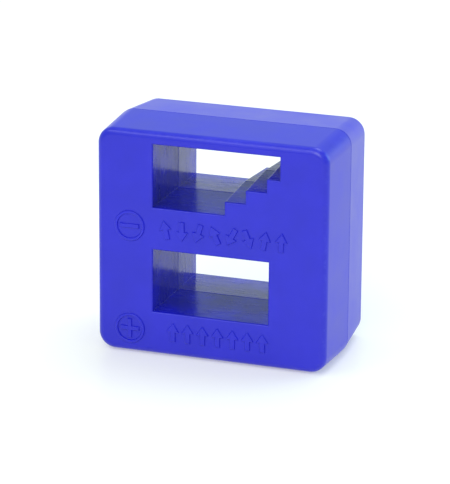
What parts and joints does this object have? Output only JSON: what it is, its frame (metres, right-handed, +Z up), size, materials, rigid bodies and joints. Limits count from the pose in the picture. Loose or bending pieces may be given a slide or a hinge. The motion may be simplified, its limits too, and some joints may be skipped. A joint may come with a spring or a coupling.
{
  "type": "demagnetizer",
  "caption": "Block magnetizer and demagnetizer: drafted two-part plastic block with a plain tunnel below, a stepped tunnel above, and magnets inside.",
  "frame": {"origin": "on the floor below the middle of the block", "axes": "+X to the right across the front face, +Y from the front face to the rear face, +Z up"},
  "size_m": [0.05, 0.027, 0.048],
  "materials": {
    "blue_abs": "satin moulded ABS",
    "ferrite": "dull sintered ferrite",
    "steel": "cold-rolled steel"
  },
  "bodies": {
    "root": {"front_housing": "blue_abs", "rear_housing": "blue_abs", "left_keeper_plate": "steel", "left_outer_magnet": "ferrite", "left_inner_magnet": "ferrite", "right_keeper_plate": "steel", "right_outer_magnet": "ferrite", "right_inner_magnet": "ferrite", "demagnetizing_magnet": "ferrite"}
  },
  "joints": []
}
